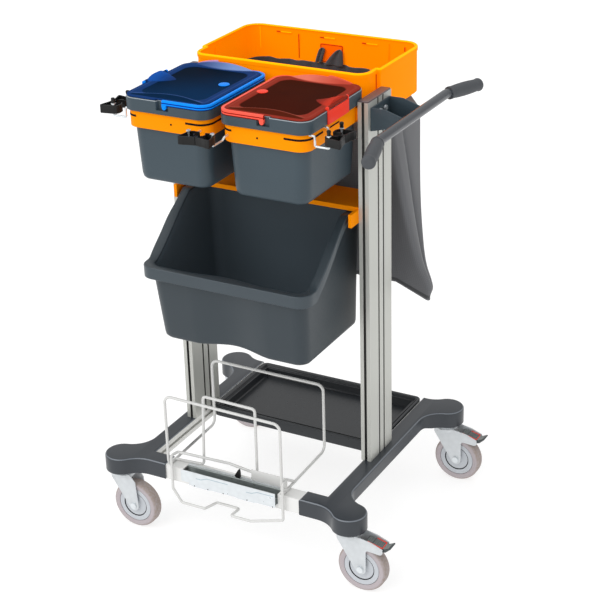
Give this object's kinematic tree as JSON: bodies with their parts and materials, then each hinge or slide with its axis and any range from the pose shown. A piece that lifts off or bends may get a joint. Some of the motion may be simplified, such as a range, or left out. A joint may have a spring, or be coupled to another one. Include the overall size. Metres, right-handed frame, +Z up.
{
  "type": "janitor cart",
  "caption": "Wheeled cleaning cart with lidded buckets, a tilted bin, a tray with a hanging bag, a push handle, tool clips and a wire mop rack.",
  "frame": {"origin": "on the floor midway between the posts", "axes": "+X from post to post towards the push handle, -Y towards the buckets, +Z up"},
  "size_m": [0.7959, 0.6993, 1.171],
  "materials": {
    "alloy": "satin anodised",
    "white_coat": "smooth powder coat",
    "zinc": "bright zinc plate",
    "dark_plastic": "fine matte moulding",
    "cap_plastic": "satin",
    "black_plastic": "matte moulding",
    "jaw_rubber": "matte rubber",
    "orange_plastic": "satin moulding",
    "blue_plastic": "gloss moulding",
    "red_plastic": "gloss moulding",
    "blue_lid": "dark clear moulding",
    "red_lid": "dark clear moulding",
    "cloth": "woven",
    "dark_tube": "gloss coat",
    "grip": "matte",
    "hub_grey": "satin moulding",
    "tread": "matte rubber",
    "pedal_plastic": "ridged moulding"
  },
  "bodies": {
    "cart_frame": {"side_rails": "alloy", "front_rail": "white_coat", "cross_rails": "alloy", "left_base_cover": "dark_plastic", "right_base_cover": "dark_plastic", "rear_tray": "black_plastic", "mop_channel": "zinc", "channel_stop": "black_plastic", "wire_rack": "white_coat", "left_post": "alloy", "right_post": "alloy", "post_caps": "cap_plastic", "upper_beam": "alloy", "bin_bracket": "orange_plastic", "left_bucket_ring": "orange_plastic", "right_bucket_ring": "orange_plastic", "top_tray": "orange_plastic", "laundry_bag": "cloth", "bag_hem": "cloth", "clip_arms": "zinc", "handle_bracket": "dark_plastic", "handle_tube": "dark_tube", "grips": "grip", "bracket_bolts": "zinc", "castor_plates": "zinc"},
    "waste_bin": {"bin": "dark_plastic"},
    "left_bucket_body": {"left_bucket": "dark_plastic", "left_lid_clip": "blue_plastic"},
    "left_lid_body": {"left_lid": "blue_lid", "left_lid_disc": "blue_plastic"},
    "left_bail_body": {"left_bail": "blue_plastic"},
    "right_bucket_body": {"right_bucket": "dark_plastic", "right_lid_clip": "red_plastic"},
    "right_lid_body": {"right_lid": "red_lid", "right_lid_disc": "red_plastic"},
    "right_bail_body": {"right_bail": "red_plastic"},
    "right_clip_jaw_front_body": {"right_clip_jaw_front": "jaw_rubber"},
    "right_clip_jaw_rear_body": {"right_clip_jaw_rear": "jaw_rubber"},
    "left_clip_jaw_front_body": {"left_clip_jaw_front": "jaw_rubber"},
    "left_clip_jaw_rear_body": {"left_clip_jaw_rear": "jaw_rubber"},
    "front_clip_jaw_left_body": {"front_clip_jaw_left": "jaw_rubber"},
    "front_clip_jaw_right_body": {"front_clip_jaw_right": "jaw_rubber"},
    "castor_fl": {"fork_fl": "zinc", "axle_fl": "zinc"},
    "wheel_fl": {"hub_fl": "hub_grey", "tyre_fl": "tread"},
    "castor_fr": {"fork_fr": "zinc", "axle_fr": "zinc"},
    "wheel_fr": {"hub_fr": "hub_grey", "tyre_fr": "tread"},
    "castor_rl": {"fork_rl": "zinc", "axle_rl": "zinc"},
    "wheel_rl": {"hub_rl": "hub_grey", "tyre_rl": "tread"},
    "castor_rr": {"fork_rr": "zinc", "axle_rr": "zinc"},
    "wheel_rr": {"hub_rr": "hub_grey", "tyre_rr": "tread"},
    "pedal_front": {"brake_pedal_front": "pedal_plastic"},
    "pedal_rear": {"brake_pedal_rear": "pedal_plastic"}
  },
  "joints": [
    {"name": "bin_pull", "type": "slide", "parent": "cart_frame", "child": "waste_bin", "axis": [0, -1, 0], "range_m": [0, 0.25]},
    {"name": "left_bucket_lift", "type": "slide", "parent": "cart_frame", "child": "left_bucket_body", "axis": [0, 0, 1], "range_m": [0, 0.25]},
    {"name": "left_lid_hinge", "type": "hinge", "parent": "left_bucket_body", "child": "left_lid_body", "pos_m": [-0.2365, -0.152, 1.153], "axis": [0, -1, 0], "range_deg": [0, 100]},
    {"name": "left_bail_hinge", "type": "hinge", "parent": "left_bucket_body", "child": "left_bail_body", "pos_m": [-0.1245, -0.152, 1.134], "axis": [0, -1, 0], "range_deg": [0, 90]},
    {"name": "right_bucket_lift", "type": "slide", "parent": "cart_frame", "child": "right_bucket_body", "axis": [0, 0, 1], "range_m": [0, 0.25]},
    {"name": "right_lid_hinge", "type": "hinge", "parent": "right_bucket_body", "child": "right_lid_body", "pos_m": [0.2365, -0.152, 1.153], "axis": [0, 1, 0], "range_deg": [0, 100]},
    {"name": "right_bail_hinge", "type": "hinge", "parent": "right_bucket_body", "child": "right_bail_body", "pos_m": [0.1245, -0.152, 1.134], "axis": [0, 1, 0], "range_deg": [0, 90]},
    {"name": "right_clip_jaw_front_hinge", "type": "hinge", "parent": "cart_frame", "child": "right_clip_jaw_front_body", "pos_m": [0.2765, -0.27, 1.105], "axis": [0, 0, -1], "range_deg": [0, 20], "stiffness_Nm_per_rad": 0.3},
    {"name": "right_clip_jaw_rear_hinge", "type": "hinge", "parent": "cart_frame", "child": "right_clip_jaw_rear_body", "pos_m": [0.2765, -0.21, 1.105], "axis": [0, 0, 1], "range_deg": [0, 20], "stiffness_Nm_per_rad": 0.3},
    {"name": "left_clip_jaw_front_hinge", "type": "hinge", "parent": "cart_frame", "child": "left_clip_jaw_front_body", "pos_m": [-0.2765, -0.27, 1.105], "axis": [0, 0, 1], "range_deg": [0, 20], "stiffness_Nm_per_rad": 0.3},
    {"name": "left_clip_jaw_rear_hinge", "type": "hinge", "parent": "cart_frame", "child": "left_clip_jaw_rear_body", "pos_m": [-0.2765, -0.21, 1.105], "axis": [0, 0, -1], "range_deg": [0, 20], "stiffness_Nm_per_rad": 0.3},
    {"name": "front_clip_jaw_left_hinge", "type": "hinge", "parent": "cart_frame", "child": "front_clip_jaw_left_body", "pos_m": [-0.03, -0.3425, 1.105], "axis": [0, 0, -1], "range_deg": [0, 20], "stiffness_Nm_per_rad": 0.3},
    {"name": "front_clip_jaw_right_hinge", "type": "hinge", "parent": "cart_frame", "child": "front_clip_jaw_right_body", "pos_m": [0.03, -0.3425, 1.105], "axis": [0, 0, 1], "range_deg": [0, 20], "stiffness_Nm_per_rad": 0.3},
    {"name": "swivel_fl", "type": "hinge", "parent": "cart_frame", "child": "castor_fl", "pos_m": [-0.32, -0.2825, 0.15], "axis": [0, 0, 1], "continuous": true},
    {"name": "spin_fl", "type": "hinge", "parent": "castor_fl", "child": "wheel_fl", "pos_m": [-0.284, -0.2825, 0.0625], "axis": [0, 1, 0], "continuous": true},
    {"name": "swivel_fr", "type": "hinge", "parent": "cart_frame", "child": "castor_fr", "pos_m": [0.32, -0.2825, 0.15], "axis": [0, 0, 1], "continuous": true},
    {"name": "spin_fr", "type": "hinge", "parent": "castor_fr", "child": "wheel_fr", "pos_m": [0.356, -0.2825, 0.0625], "axis": [0, 1, 0], "continuous": true},
    {"name": "swivel_rl", "type": "hinge", "parent": "cart_frame", "child": "castor_rl", "pos_m": [-0.32, 0.2825, 0.15], "axis": [0, 0, 1], "continuous": true},
    {"name": "spin_rl", "type": "hinge", "parent": "castor_rl", "child": "wheel_rl", "pos_m": [-0.284, 0.2825, 0.0625], "axis": [0, 1, 0], "continuous": true},
    {"name": "swivel_rr", "type": "hinge", "parent": "cart_frame", "child": "castor_rr", "pos_m": [0.32, 0.2825, 0.15], "axis": [0, 0, 1], "continuous": true},
    {"name": "spin_rr", "type": "hinge", "parent": "castor_rr", "child": "wheel_rr", "pos_m": [0.356, 0.2825, 0.0625], "axis": [0, 1, 0], "continuous": true},
    {"name": "brake_front", "type": "hinge", "parent": "castor_fr", "child": "pedal_front", "pos_m": [0.373, -0.2825, 0.1325], "axis": [0, 1, 0], "range_deg": [0, 15]},
    {"name": "brake_rear", "type": "hinge", "parent": "castor_rr", "child": "pedal_rear", "pos_m": [0.373, 0.2825, 0.1325], "axis": [0, 1, 0], "range_deg": [0, 15]}
  ]
}
